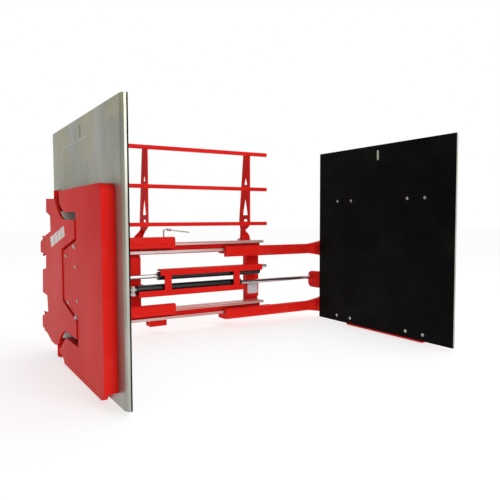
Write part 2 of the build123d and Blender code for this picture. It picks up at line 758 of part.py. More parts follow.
for side, word in ((-1, "left"), (1, "right")):
    keep(make_housing(side), f"{word}_pad_housing")
    keep(make_sheet(side, pad_face, rubber_thick, screw_head + 0.5, False), f"{word}_pad_rubber")
    keep(make_sheet(side, pad_face + rubber_thick, plate_thick, screw_radius + running_gap, True), f"{word}_pad_plate")

    with BuildPart() as pad_bar:
        with BuildSketch(Plane.YZ.offset(side * housing_inner if side > 0 else side * (housing_inner + bar_thick))):
            with BuildLine():
                Polyline(bar_outline, close=True)
            make_face()
            for column in screw_columns[:-1]:
                with Locations((column, screw_rows[0])):
                    Circle(screw_radius + running_gap, mode=Mode.SUBTRACT)
        extrude(amount=bar_thick)
    keep(pad_bar.part, f"{word}_pad_bar")

    with BuildPart() as pad_screws:
        for column in screw_columns:
            for row in screw_rows:
                with Locations(Location((side * (pad_face + 1), column, row), (0, side * 90, 0))):
                    Cone(screw_head, screw_radius, rubber_thick - 1, align=(Align.CENTER, Align.CENTER, Align.MIN))
                with Locations(Location((side * (pad_face + rubber_thick), column, row), (0, side * 90, 0))):
                    Cylinder(screw_radius, plate_thick + 7, align=(Align.CENTER, Align.CENTER, Align.MIN))
    keep(pad_screws.part, f"{word}_pad_screws")

    with BuildPart() as housing_bolts:
        for y, z, radius, height in face_bolts:
            with BuildSketch(Plane.YZ.offset(side * housing_outer if side > 0 else side * (housing_outer + height))):
                with Locations((y, z)):
                    RegularPolygon(radius, 6)
            extrude(amount=height)
    keep(housing_bolts.part, f"{word}_housing_bolts")
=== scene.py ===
import json
import math

import bmesh
import bpy
from mathutils import Matrix, Vector


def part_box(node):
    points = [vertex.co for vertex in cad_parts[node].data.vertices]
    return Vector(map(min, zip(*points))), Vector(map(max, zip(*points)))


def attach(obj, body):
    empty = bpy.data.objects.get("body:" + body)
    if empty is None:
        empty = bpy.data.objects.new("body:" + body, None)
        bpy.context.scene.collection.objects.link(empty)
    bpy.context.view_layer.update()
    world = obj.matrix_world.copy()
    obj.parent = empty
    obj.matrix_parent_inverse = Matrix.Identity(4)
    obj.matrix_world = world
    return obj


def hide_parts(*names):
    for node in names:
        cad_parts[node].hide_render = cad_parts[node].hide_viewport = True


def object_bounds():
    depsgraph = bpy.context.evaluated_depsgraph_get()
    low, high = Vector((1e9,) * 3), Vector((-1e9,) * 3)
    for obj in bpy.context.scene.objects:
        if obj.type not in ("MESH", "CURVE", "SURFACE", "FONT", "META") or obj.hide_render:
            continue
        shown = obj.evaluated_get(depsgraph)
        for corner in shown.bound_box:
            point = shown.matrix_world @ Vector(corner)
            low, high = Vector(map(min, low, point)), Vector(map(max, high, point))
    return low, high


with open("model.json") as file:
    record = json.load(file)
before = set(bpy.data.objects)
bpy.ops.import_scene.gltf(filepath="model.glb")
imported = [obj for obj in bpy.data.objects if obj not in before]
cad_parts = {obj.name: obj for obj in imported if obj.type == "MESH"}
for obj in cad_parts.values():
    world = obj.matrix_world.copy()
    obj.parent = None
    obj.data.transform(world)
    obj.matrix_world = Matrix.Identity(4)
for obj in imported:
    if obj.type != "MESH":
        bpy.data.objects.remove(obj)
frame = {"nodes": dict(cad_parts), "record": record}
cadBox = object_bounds()
record = frame["record"]
nodes = frame["nodes"]
slotOf = {row["node"]: row["material_slot"] for row in record["subparts"]}
bodyOf = {node: body for body, members in record["behaviour"]["bodies"].items() for node in members}
sides = {"left": -1, "right": 1}
print("frame loaded:", len(nodes), "nodes")


# node helpers

def patches(tree, place, scale, low, high, detail=3.0, stretch=(1, 1, 1)):
    # soft blotches: 0 below low and 1 above high
    mapping = tree.nodes.new("ShaderNodeMapping")
    mapping.inputs["Scale"].default_value = stretch
    tree.links.new(place, mapping.inputs["Vector"])
    noise = tree.nodes.new("ShaderNodeTexNoise")
    noise.inputs["Scale"].default_value = scale
    noise.inputs["Detail"].default_value = detail
    tree.links.new(mapping.outputs["Vector"], noise.inputs["Vector"])
    return ranged(tree, noise.outputs["Fac"], low, high, 0, 1)


def ranged(tree, value, low, high, toLow, toHigh):
    node = tree.nodes.new("ShaderNodeMapRange")
    tree.links.new(value, node.inputs["Value"])
    for socket, number in zip(("From Min", "From Max", "To Min", "To Max"), (low, high, toLow, toHigh)):
        node.inputs[socket].default_value = number
    return node.outputs["Result"]


def joined(tree, kind, first, second):
    node = tree.nodes.new("ShaderNodeMath")
    node.operation = kind
    node.use_clamp = kind in ("MULTIPLY", "ADD", "MAXIMUM")
    for socket, value in zip(node.inputs, (first, second)):
        if isinstance(value, (int, float)):
            socket.default_value = value
        else:
            tree.links.new(value, socket)
    return node.outputs["Value"]


def tinted(tree, factor, first, second):
    node = tree.nodes.new("ShaderNodeMix")
    node.data_type = "RGBA"
    tree.links.new(factor, node.inputs["Factor"])
    for socket, value in ((node.inputs[6], first), (node.inputs[7], second)):
        if isinstance(value, tuple):
            socket.default_value = (*value, 1)
        else:
            tree.links.new(value, socket)
    return node.outputs[2]


def axisOf(tree, vector, axis):
    node = tree.nodes.new("ShaderNodeSeparateXYZ")
    tree.links.new(vector, node.inputs["Vector"])
    return node.outputs[axis]


# camera, light and floor

view = {
    "eye": (-1.597, -3.351, 0.184),
    "forward": (0.5215, 0.8512, -0.0595),
    "roll": math.radians(-0.175),
    "lens": 38.8,
    "sensor": 36,
}


def makeCamera():
    data = bpy.data.cameras.new("camera")
    data.lens = view["lens"]
    data.sensor_width = view["sensor"]
    camera = bpy.data.objects.new("camera", data)
    bpy.context.scene.collection.objects.link(camera)
    facing = Vector(view["forward"]).to_track_quat("-Z", "Y").to_matrix().to_4x4()
    camera.matrix_world = Matrix.Translation(view["eye"]) @ facing @ Matrix.Rotation(view["roll"], 4, "Z")
    bpy.context.scene.camera = camera


studio = {
    "skyStrength": 1.0,
    "leftStrength": 0.30,      # the sky is dimmer towards -X, which models the pads' outer sides
    "leftHeading": (-0.40, 0.02),
    "floorGrey": 0.40,
    "floorGlow": 0.68,
    "floorRoughness": 0.9,
    "floorSize": 60.0,
    "floorDrop": 0.0005,
    "lamps": [
        # name, place, aim, size in metres, power in watts
        ("keyLamp", (0.6, -5.6, 2.4), (0.0, -0.3, 0.0), 2.4, 92),
        ("topLamp", (1.5, 2.5, 4.2), (0.0, -0.2, 0.1), 2.4, 34),
    ],
}


def makeStudio():
    world = bpy.data.worlds.new("studioWorld")
    world.use_nodes = True
    tree = world.node_tree
    heading = axisOf(tree, tree.nodes.new("ShaderNodeTexCoord").outputs["Generated"], "X")
    strength = ranged(tree, heading, *studio["leftHeading"], studio["leftStrength"], studio["skyStrength"])
    tree.links.new(strength, tree.nodes["Background"].inputs["Strength"])
    tree.nodes["Background"].inputs["Color"].default_value = (1, 1, 1, 1)
    bpy.context.scene.world = world
    bpy.context.scene.view_settings.view_transform = "Standard"
    for name, place, aim, size, power in studio["lamps"]:
        data = bpy.data.lights.new(name, "AREA")
        data.size = size
        data.energy = power
        lamp = bpy.data.objects.new(name, data)
        lamp.location = place
        lamp.rotation_euler = (Vector(aim) - Vector(place)).to_track_quat("-Z", "Y").to_euler()
        bpy.context.scene.collection.objects.link(lamp)
    half = studio["floorSize"] / 2
    level = cadBox[0].z - studio["floorDrop"]
    mesh = bpy.data.meshes.new("floor")
    mesh.from_pydata([(-half, -half, level), (half, -half, level), (half, half, level), (-half, half, level)],
                     [], [(0, 1, 2, 3)])
    floor = bpy.data.objects.new("floor", mesh)
    bpy.context.scene.collection.objects.link(floor)
    material = bpy.data.materials.new("paleFloor")
    material.use_nodes = True
    shader = material.node_tree.nodes["Principled BSDF"]
    grey = studio["floorGrey"]
    shader.inputs["Base Color"].default_value = (grey, grey, grey, 1)
    shader.inputs["Roughness"].default_value = studio["floorRoughness"]
    shader.inputs["Specular IOR Level"].default_value = 0.0
    shader.inputs["Emission Color"].default_value = (1, 1, 1, 1)
    shader.inputs["Emission Strength"].default_value = studio["floorGlow"]
    mesh.materials.append(material)


makeCamera()
makeStudio()
print("camera, lamps and floor made")


# materials

def startMaterial(name):
    material = bpy.data.materials.new(name)
    material.use_nodes = True
    tree = material.node_tree
    shader = tree.nodes["Principled BSDF"]
    place = tree.nodes.new("ShaderNodeTexCoord").outputs["Object"]
    return material, tree, shader, place


def setSockets(shader, **values):
    names = {"metallic": "Metallic", "specular": "Specular IOR Level",
             "coat": "Coat Weight", "coatRoughness": "Coat Roughness"}
    for key, value in values.items():
        shader.inputs[names[key]].default_value = value


def facingUp(tree):
    normal = tree.nodes.new("ShaderNodeNewGeometry").outputs["Normal"]
    return axisOf(tree, normal, "Z")


edgeWear = {"samples": 4, "radius": 0.0035, "turned": 0.90, "straight": 0.99}


def rubbedEdges(tree):
    # 1 near an edge: there the rounded normal turns away from the face's own
    rounded = tree.nodes.new("ShaderNodeBevel")
    rounded.samples = edgeWear["samples"]
    rounded.inputs["Radius"].default_value = edgeWear["radius"]
    dot = tree.nodes.new("ShaderNodeVectorMath")
    dot.operation = "DOT_PRODUCT"
    tree.links.new(rounded.outputs["Normal"], dot.inputs[0])
    tree.links.new(tree.nodes.new("ShaderNodeNewGeometry").outputs["True Normal"], dot.inputs[1])
    return ranged(tree, dot.outputs["Value"], edgeWear["turned"], edgeWear["straight"], 1, 0)


def addBump(tree, shader, height, strength, distance):
    node = tree.nodes.new("ShaderNodeBump")
    node.inputs["Strength"].default_value = strength
    node.inputs["Distance"].default_value = distance
    tree.links.new(height, node.inputs["Height"])
    tree.links.new(node.outputs["Normal"], shader.inputs["Normal"])


enamel = {
    "red": (0.78, 0.0165, 0.0105),
    "deepRed": (0.69, 0.012, 0.009),
    # the paler tint on upward faces is dust in patches plus a painted sheen, the sky's reflection on top faces
    "dusty": (0.64, 0.045, 0.040),
    "chipped": (0.78, 0.15, 0.13),
    # patches are (scale, low, high, detail)
    "blotch": (2.4, 0.35, 0.70),
    "dust": (11, 0.35, 0.65, 5),
    "scuff": (9.0, 0.56, 0.86, 4),
    "chip": (34, 0.45, 0.62, 5),
    "peel": (260.0, 0.2, 0.8, 2),
    "dustSlope": (0.6, 0.95),
    "dustShare": 0.6,
    "scuffShare": 0.16,
    "chipShare": 0.55,
    "roughness": (0.36, 0.44),
    "scuffRoughness": 0.10,
    "peelBump": (0.05, 0.0005),
    "sockets": {"specular": 0.03, "coat": 0.03, "coatRoughness": 0.10},
}


def paintedRed(tree, shader, place):
    # returns the colour, and wires roughness and orange peel
    blotch = patches(tree, place, *enamel["blotch"])
    colour = tinted(tree, blotch, enamel["red"], enamel["deepRed"])
    # upward faces turn paler: dust in patches, together with a painted sheen standing for the sky's reflection on
    # top faces
    level = ranged(tree, facingUp(tree), *enamel["dustSlope"], 0, enamel["dustShare"])
    dust = joined(tree, "MULTIPLY", level, patches(tree, place, *enamel["dust"]))
    colour = tinted(tree, dust, colour, enamel["dusty"])
    scuff = patches(tree, place, *enamel["scuff"])
    colour = tinted(tree, joined(tree, "MULTIPLY", scuff, enamel["scuffShare"]), colour, enamel["chipped"])
    rubbed = joined(tree, "MULTIPLY", rubbedEdges(tree), patches(tree, place, *enamel["chip"]))
    colour = tinted(tree, joined(tree, "MULTIPLY", rubbed, enamel["chipShare"]), colour, enamel["chipped"])
    rough = joined(tree, "ADD", ranged(tree, blotch, 0, 1, *enamel["roughness"]),
                   joined(tree, "MULTIPLY", scuff, enamel["scuffRoughness"]))
    tree.links.new(rough, shader.inputs["Roughness"])
    addBump(tree, shader, patches(tree, place, *enamel["peel"]), *enamel["peelBump"])
    setSockets(shader, **enamel["sockets"])
    return colour


def makeRedPaint():
    material, tree, shader, place = startMaterial("redEnamel")
    tree.links.new(paintedRed(tree, shader, place), shader.inputs["Base Color"])
    return material


railWear = {
    "steel": (0.60, 0.57, 0.54),
    "rubbedRed": (0.62, 0.20, 0.18),
    "faceSpan": 0.0331,     # half the rail's height, less the paint line
    "frontFace": -0.1146,
    "paintLine": 0.0003,
    "streaks": (30.0, 0.40, 0.58, 6, (0.04, 1.5, 1.5)),
    "metallic": 0.8,
}


def makeRailSteel(centre, name):
    # red web, with the outer faces and flange edges rubbed bare by the slides
    material, tree, shader, place = startMaterial(name)
    red = paintedRed(tree, shader, place)
    span, face, line = railWear["faceSpan"], railWear["frontFace"], railWear["paintLine"]
    height = joined(tree, "ABSOLUTE", joined(tree, "SUBTRACT", axisOf(tree, place, "Z"), centre), 0)
    outer = ranged(tree, height, span - line, span, 0, 1)
    front = ranged(tree, axisOf(tree, place, "Y"), face, face + line, 1, 0)
    bare = joined(tree, "MAXIMUM", outer, front)
    streaks = patches(tree, place, *railWear["streaks"])
    worn = tinted(tree, streaks, railWear["rubbedRed"], railWear["steel"])
    tree.links.new(tinted(tree, bare, red, worn), shader.inputs["Base Color"])
    metal = joined(tree, "MULTIPLY", joined(tree, "MULTIPLY", bare, streaks), railWear["metallic"])
    tree.links.new(metal, shader.inputs["Metallic"])
    return material


plateLook = {
    "grey": (0.42, 0.43, 0.36),
    "pale": (0.60, 0.61, 0.54),
    "warm": (0.66, 0.63, 0.42),
    "dark": (0.26, 0.28, 0.26),
    "bright": (0.92, 0.92, 0.88),
    "cloud": (3.2, 0.36, 0.66, 4, (1, 1, 0.6)),
    "warmth": (4.6, 0.48, 0.66, 3),
    "warmHeight": (0.25, 0.60, 0, 0.75),
    "footHeight": (0.0, -0.50, 0, 0.62),
    "spots": (42, 0.62, 0.74, 6),
    "spotShare": 0.35,
    "scratchHeight": 0.546,
    "scratchHalf": (0.0007, 0.0020),
    "scratchSpan": (-1.10, -0.42),
    "scratchFade": (0.3, 0.02),
    "scratchBreaks": (28, 0.34, 0.5, 3),
    "scratchShare": 0.8,
    "grain": (240, 0.3, 0.7, 4, (1, 0.05, 1)),
    "roughness": (0.40, 0.28),
    "grainRoughness": 0.10,
    "bump": (0.10, 0.0004),
    "sockets": {"metallic": 0.82, "specular": 0.5},
}


def scratchMask(tree, place, height):
    # one thin level line below the slot
    offset = joined(tree, "ABSOLUTE", joined(tree, "SUBTRACT", height, plateLook["scratchHeight"]), 0)
    near, far = plateLook["scratchSpan"]
    fadeIn, fadeOut = plateLook["scratchFade"]
    along = axisOf(tree, place, "Y")
    ends = joined(tree, "MULTIPLY", ranged(tree, along, near, near + fadeIn, 0, 1),
                  ranged(tree, along, far - fadeOut, far, 1, 0))
    line = joined(tree, "MULTIPLY", ranged(tree, offset, *plateLook["scratchHalf"], 1, 0), ends)
    broken = joined(tree, "MULTIPLY", line, patches(tree, place, *plateLook["scratchBreaks"]))
    return joined(tree, "MULTIPLY", broken, plateLook["scratchShare"])


def makeAluminium():
    material, tree, shader, place = startMaterial("millAluminium")
    cloudy = patches(tree, place, *plateLook["cloud"])
    colour = tinted(tree, cloudy, plateLook["grey"], plateLook["pale"])
    height = axisOf(tree, place, "Z")
    warmth = joined(tree, "MULTIPLY", ranged(tree, height, *plateLook["warmHeight"]),
                    patches(tree, place, *plateLook["warmth"]))
    colour = tinted(tree, warmth, colour, plateLook["warm"])
    colour = tinted(tree, ranged(tree, height, *plateLook["footHeight"]), colour, plateLook["dark"])
    spots = joined(tree, "MULTIPLY", patches(tree, place, *plateLook["spots"]), plateLook["spotShare"])
    colour = tinted(tree, spots, colour, plateLook["dark"])
    colour = tinted(tree, scratchMask(tree, place, height), colour, plateLook["bright"])
    tree.links.new(colour, shader.inputs["Base Color"])
    grain = patches(tree, place, *plateLook["grain"])
    rough = joined(tree, "ADD", ranged(tree, cloudy, 0, 1, *plateLook["roughness"]),
                   ranged(tree, grain, 0, 1, 0, plateLook["grainRoughness"]))
    tree.links.new(rough, shader.inputs["Roughness"])
    addBump(tree, shader, grain, *plateLook["bump"])
    setSockets(shader, **plateLook["sockets"])
    return material


rubberLook = {
    "colours": ((0.0030, 0.0030, 0.0028), (0.0075, 0.0075, 0.0070)),
    "bloom": (4.0, 0.45, 0.75, 5),
    "rubs": (9, 0.55, 0.75, 6, (1, 0.3, 1.6)),
    "roughness": (0.66, 0.52),
    "pebbleScale": 460,
    "bump": (0.22, 0.0005),
    "specular": 0.05,
}


def makeRubber():
    material, tree, shader, place = startMaterial("blackRubber")
    bloom = patches(tree, place, *rubberLook["bloom"])
    tree.links.new(tinted(tree, bloom, *rubberLook["colours"]), shader.inputs["Base Color"])
    rubs = patches(tree, place, *rubberLook["rubs"])
    tree.links.new(ranged(tree, rubs, 0, 1, *rubberLook["roughness"]), shader.inputs["Roughness"])
    pebble = tree.nodes.new("ShaderNodeTexVoronoi")
    pebble.inputs["Scale"].default_value = rubberLook["pebbleScale"]
    tree.links.new(place, pebble.inputs["Vector"])
    addBump(tree, shader, pebble.outputs["Distance"], *rubberLook["bump"])
    setSockets(shader, specular=rubberLook["specular"])
    return material


chromeLook = {
    "colours": ((0.60, 0.61, 0.62), (0.46, 0.46, 0.46)),
    "rings": (300, 0.3, 0.7, 2, (1, 0.02, 0.02)),
    "oil": (12, 0.5, 0.7, 4, (0.3, 1, 1)),
    "roughness": (0.17, 0.26),
    "oilRoughness": 0.08,
    "bump": (0.03, 0.0002),
}


def makeChrome():
    material, tree, shader, place = startMaterial("hardChrome")
    rings = patches(tree, place, *chromeLook["rings"])
    oil = patches(tree, place, *chromeLook["oil"])
    tree.links.new(tinted(tree, oil, *chromeLook["colours"]), shader.inputs["Base Color"])
    rough = joined(tree, "ADD", ranged(tree, rings, 0, 1, *chromeLook["roughness"]),
                   joined(tree, "MULTIPLY", oil, chromeLook["oilRoughness"]))
    tree.links.new(rough, shader.inputs["Roughness"])
    addBump(tree, shader, rings, *chromeLook["bump"])
    setSockets(shader, metallic=1.0)
    return material


# one patch pattern sets both colour and roughness, and a fine grain the bump
filmPatch = (60, 0.45, 0.75, 4)
filmGrime = (0.50, 0.47, 0.47)
plainLooks = {
    "satinBlack": {
        "patch": (18, 0.55, 0.72, 5, (0.4, 1, 1)), "colours": ((0.004, 0.004, 0.004), (0.016, 0.015, 0.014)),
        "roughness": (0.26, 0.45), "grain": 380, "bump": (0.05, 0.0004),
        "sockets": {"specular": 0.35, "coat": 0.1, "coatRoughness": 0.2},
    },
    "zincPlate": {
        "patch": (55, 0.35, 0.68, 4), "colours": ((0.62, 0.63, 0.64), (0.48, 0.47, 0.42)),
        "roughness": (0.26, 0.42), "grain": 600, "bump": (0.05, 0.0003), "sockets": {"metallic": 0.9},
    },
    "bearingPlastic": {
        "patch": (20, 0.4, 0.7, 4), "colours": ((0.012, 0.012, 0.012), (0.03, 0.026, 0.02)),
        "roughness": (0.5, 0.3), "grain": 300, "bump": (0.08, 0.0003), "sockets": {},
    },
    # the name plate's pale lilac colour is partly its own pale metal and partly a painted reflection
    "bareNamePlate": {
        "patch": filmPatch, "colours": ((0.78, 0.76, 0.80), filmGrime),
        "roughness": (0.34, 0.5), "grain": 500, "bump": (0.04, 0.0002), "sockets": {"metallic": 0.25},
    },
    "plainDecal": {
        "patch": filmPatch, "colours": ((0.86, 0.80, 0.76), filmGrime),
        "roughness": (0.34, 0.5), "grain": 500, "bump": (0.04, 0.0002), "sockets": {"metallic": 0.0},
    },
}
grainPatch = (0.2, 0.8, 2)


def makePlain(name):
    look = plainLooks[name]
    material, tree, shader, place = startMaterial(name)
    tone = patches(tree, place, *look["patch"])
    tree.links.new(tinted(tree, tone, *look["colours"]), shader.inputs["Base Color"])
    tree.links.new(ranged(tree, tone, 0, 1, *look["roughness"]), shader.inputs["Roughness"])
    addBump(tree, shader, patches(tree, place, look["grain"], *grainPatch), *look["bump"])
    setSockets(shader, **look["sockets"])
    return material


materials = {
    "red_paint": makeRedPaint(),
    "pad_aluminium": makeAluminium(),
    "pad_rubber": makeRubber(),
    "chrome_rod": makeChrome(),
    "black_paint": makePlain("satinBlack"),
    "zinc_steel": makePlain("zincPlate"),
    "slide_plastic": makePlain("bearingPlastic"),
}
railMaterials = {
    name: makeRailSteel((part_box(name)[0].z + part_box(name)[1].z) / 2, name.replace("_rail", "RailSteel"))
    for name in ("upper_rail", "lower_rail")
}
ownMaterials = {**railMaterials, "name_plate": makePlain("bareNamePlate")}
decalFilm = makePlain("plainDecal")
print("materials made")


# helpers for pieces

def camel(node):
    first, *rest = node.split("_")
    return first + "".join(word.capitalize() for word in rest)


def linked(name, mesh):
    piece = bpy.data.objects.new(name, mesh)
    bpy.context.scene.collection.objects.link(piece)
    return piece


def baked(piece, name, material, finish=None):
    # the evaluated result as one plain mesh at the origin
    graph = bpy.context.evaluated_depsgraph_get()
    graph.update()
    mesh = bpy.data.meshes.new_from_object(piece.evaluated_get(graph))
    bpy.data.objects.remove(piece)
    mesh.name = name
    if finish:
        finish(mesh)
    mesh.materials.clear()
    mesh.materials.append(material)
    return linked(name, mesh)


def mounted(piece, body, slot, *replaced):
    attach(piece, body)
    if replaced:
        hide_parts(*replaced)
    return piece


def materialFor(node):
    return ownMaterials.get(node) or materials[slotOf[node]]


# CAD pieces with worked edges

edgeBreaks = {
    "pad_housing": 0.0022, "link_plate": 0.0016, "beam": 0.0020, "rod_lug": 0.0022, "rail": 0.0012,
    "upright": 0.0015, "carriage_bar": 0.0015, "hooks": 0.0018, "cradle_top_bar": 0.0014,
    "cradle_bottom_bar": 0.0014, "cradle_straps": 0.0012, "cylinder_anchors": 0.0015,
    "backrest_post": 0.0010, "backrest_feet": 0.0012, "pad_plate": 0.0010, "pad_rubber": 0.0008,
    "pad_bar": 0.0014, "name_plate": 0.0004, "port_fittings": 0.0006, "gland_nuts": 0.0010,
    "barrel_end_caps": 0.0012, "supply_block": 0.0010, "rod_nut": 0.0010,
}
bevelSetup = {
    "segments": 2,
    "angle": math.radians(34),
    "flat": math.radians(0.8),
    "weld": 0.00001,
    "faceReach": math.cos(math.radians(34)),
    "edgeReach": math.cos(math.radians(58)),
    "leastWeight": 1e-14,
}


def evenNormals(mesh):
    # flat faces keep their own normal, facets of a curve blend, and worked edges blend between their neighbours
    faces = mesh.polygons
    around = [[] for vertex in mesh.vertices]
    for face in faces:
        for vertex in face.vertices:
            around[vertex].append(face)
    normals = []
    for face in faces:
        reach = bevelSetup["edgeReach"] if face.material_index else bevelSetup["faceReach"]
        for vertex in face.vertices:
            plain = [near for near in around[vertex]
                     if not near.material_index and near.normal.dot(face.normal) > reach]
            group = plain or [near for near in around[vertex] if near.normal.dot(face.normal) > reach]
            total = Vector()
            for near in group:
                total += near.normal * (near.area * near.area + bevelSetup["leastWeight"])
            normals.append(total.normalized() if total.length > 0 else face.normal.copy())
    for face in faces:
        face.material_index = 0
    mesh.normals_split_custom_set(normals)


def workedEdges(node, width):
    mesh = nodes[node].data.copy()
    shape = bmesh.new()
    shape.from_mesh(mesh)
    bmesh.ops.remove_doubles(shape, verts=shape.verts, dist=bevelSetup["weld"])
    bmesh.ops.dissolve_limit(shape, angle_limit=bevelSetup["flat"], verts=shape.verts, edges=shape.edges)
    for face in shape.faces:
        face.smooth = True
    shape.to_mesh(mesh)
    shape.free()
    source = linked(camel(node) + "Source", mesh)
    bevel = source.modifiers.new("edgeBreak", "BEVEL")
    bevel.width = width
    bevel.segments = bevelSetup["segments"]
    bevel.limit_method = "ANGLE"
    bevel.angle_limit = bevelSetup["angle"]
    bevel.use_clamp_overlap = False
    bevel.material = 1
    source.data.materials.clear()
    # one slot for plain faces and one for worked edges
    source.data.materials.append(materialFor(node))
    source.data.materials.append(materialFor(node))
    piece = baked(source, camel(node), materialFor(node), evenNormals)
    return mounted(piece, bodyOf[node], slotOf[node], node)


def makeWorkedPieces():
    count = 0
    for node in sorted(nodes):
        family = next((key for key in edgeBreaks if node.endswith(key)), None)
        if family:
            workedEdges(node, edgeBreaks[family])
            count += 1
        else:
            mesh = nodes[node].data
            mesh.materials.clear()
            mesh.materials.append(materialFor(node))
    print("pieces with worked edges:", count)


makeWorkedPieces()


# fasteners, placed by geometry nodes

headShapes = {
    # each ring is (radius, height, share of hexagon), for a head of size one
    "hexHead": [(0.30, -0.05, 0), (1.26, -0.05, 0), (1.26, 0.10, 0), (1.18, 0.16, 0), (0.84, 0.16, 1),
                (0.866, 0.20, 1), (0.866, 0.58, 1), (0.80, 0.70, 0), (0.50, 0.71, 0), (0.42, 0.66, 0)],
    "countersunkHead": [(0.46, -0.50, 0), (0.96, -0.06, 0), (0.98, 0.0, 0), (0.94, 0.02, 0), (0.50, 0.02, 1),
                        (0.47, -0.02, 1), (0.45, -0.30, 1), (0.15, -0.36, 0)],
    "capHead": [(0.60, -0.05, 0), (1.00, -0.05, 0), (1.00, 0.98, 0), (0.93, 1.10, 0), (0.56, 1.10, 1),
                (0.52, 1.06, 1), (0.50, 0.50, 1), (0.20, 0.42, 0)],
    "rivetHead": [(0.30, -0.20, 0), (1.00, 0.00, 0), (0.95, 0.18, 0), (0.70, 0.38, 0), (0.35, 0.48, 0)],
}
headSegments = 24


def hexagonReach(angle):
    # how far a hexagon whose flats lie one unit from its centre reaches at an angle
    return 1 / math.cos((angle + math.pi / 6) % (math.pi / 3) - math.pi / 6)


def makeHead(name, rings):
    shape = bmesh.new()
    loops = []
    for radius, height, hexShare in rings:
        loop = []
        for index in range(headSegments):
            angle = 2 * math.pi * index / headSegments
            reach = radius * (1 + hexShare * (hexagonReach(angle) - 1))
            loop.append(shape.verts.new((reach * math.cos(angle), reach * math.sin(angle), height)))
        loops.append(loop)
    for low, high in zip(loops, loops[1:]):
        for index in range(headSegments):
            after = (index + 1) % headSegments
            shape.faces.new((low[index], low[after], high[after], high[index]))
    shape.faces.new(loops[0])
    shape.faces.new(loops[-1])
    bmesh.ops.recalc_face_normals(shape, faces=shape.faces)
    mesh = bpy.data.meshes.new(name)
    shape.to_mesh(mesh)
    shape.free()
    return bpy.data.objects.new(name, mesh)


heads = {name: makeHead(name, rings) for name, rings in headShapes.items()}


def newTree(name, sockets):
    tree = bpy.data.node_groups.new(name, "GeometryNodeTree")
    tree.interface.new_socket("Geometry", in_out="INPUT", socket_type="NodeSocketGeometry")
    tree.interface.new_socket("Geometry", in_out="OUTPUT", socket_type="NodeSocketGeometry")
    for label, kind in sockets:
        tree.interface.new_socket(label, in_out="INPUT", socket_type="NodeSocket" + kind)
    return tree, tree.nodes.new("NodeGroupInput").outputs, tree.nodes.new("NodeGroupOutput").inputs["Geometry"]


def wired(tree, wires):
    for start, end in wires:
        tree.links.new(start, end)


def makeFastenerTree():
    tree, given, result = newTree("fasteners", [("Head", "Object"), ("Size", "Float"), ("Turn", "Float"),
                                                ("Seed", "Int"), ("Finish", "Material")])
    head = tree.nodes.new("GeometryNodeObjectInfo")
    facing = tree.nodes.new("GeometryNodeInputNamedAttribute")
    facing.data_type = "FLOAT_VECTOR"
    facing.inputs["Name"].default_value = "facing"
    aligned = tree.nodes.new("FunctionNodeAlignRotationToVector")
    aligned.axis = "Z"
    spin = tree.nodes.new("FunctionNodeRandomValue")
    spin.data_type = "FLOAT"
    euler = tree.nodes.new("ShaderNodeCombineXYZ")
    turned = tree.nodes.new("FunctionNodeRotateRotation")
    turned.rotation_space = "LOCAL"
    placed = tree.nodes.new("GeometryNodeInstanceOnPoints")
    real = tree.nodes.new("GeometryNodeRealizeInstances")
    finished = tree.nodes.new("GeometryNodeSetMaterial")
    wires = [
        (given["Head"], head.inputs["Object"]),
        (facing.outputs["Attribute"], aligned.inputs["Vector"]),
        (given["Turn"], [s for s in spin.inputs if s.name == "Max" and s.type == "VALUE"][0]),
        (given["Seed"], spin.inputs["Seed"]),
        ([s for s in spin.outputs if s.type == "VALUE"][0], euler.inputs["Z"]),
        (aligned.outputs["Rotation"], turned.inputs["Rotation"]),
        (euler.outputs["Vector"], turned.inputs["Rotate By"]),
        (given["Geometry"], placed.inputs["Points"]),
        (head.outputs["Geometry"], placed.inputs["Instance"]),
        (turned.outputs["Rotation"], placed.inputs["Rotation"]),
        (given["Size"], placed.inputs["Scale"]),
        (placed.outputs["Instances"], real.inputs["Geometry"]),
        (real.outputs["Geometry"], finished.inputs["Geometry"]),
        (given["Finish"], finished.inputs["Material"]),
        (finished.outputs["Geometry"], result),
    ]
    wired(tree, wires)
    return tree


def runTree(tree, source, settings):
    modifier = source.modifiers.new(tree.name, "NODES")
    modifier.node_group = tree
    for item in tree.interface.items_tree:
        if item.item_type == "SOCKET" and item.in_out == "INPUT" and item.name in settings:
            modifier[item.identifier] = settings[item.name]


fastenerTree = makeFastenerTree()


def placeFasteners(name, body, slot, head, size, spots, seed, replaced=(), turn=1.0):
    mesh = bpy.data.meshes.new(name + "Spots")
    mesh.from_pydata([spot for spot, facing in spots], [], [])
    attribute = mesh.attributes.new("facing", "FLOAT_VECTOR", "POINT")
    attribute.data.foreach_set("vector", [number for spot, facing in spots for number in facing])
    source = linked(name + "Source", mesh)
    finish = materials[slot]
    runTree(fastenerTree, source, {"Head": heads[head], "Size": size, "Turn": turn, "Seed": seed, "Finish": finish})
    piece = baked(source, name, finish)
    for face in piece.data.polygons:
        face.use_smooth = False
    return mounted(piece, body, slot, *replaced)


padHardware = {
    "screwSize": 0.0100,
    "screwSink": 0.0012,
    "screwRows": (-0.513, 0.299),
    "screwColumns": (-1.187, -1.053, -0.553, -0.415),
    "bigBolts": [(-0.895, 0.060), (-0.900, -0.259)],
    "smallBolts": [(-0.730, 0.008), (-0.900, -0.032), (-0.750, -0.212), (-0.925, -0.182)],
    "plugs": [(-1.137, 0.289), (-1.268, 0.289), (-0.990, 0.250), (-1.157, -0.476), (-1.232, -0.482)],
    "bigSize": 0.0100,
    "smallSize": 0.0068,
    "plugSize": 0.0052,
    "plugProud": 0.0002,
    "seeds": {"screws": 3, "big": 5, "small": 7, "plugs": 9},
}


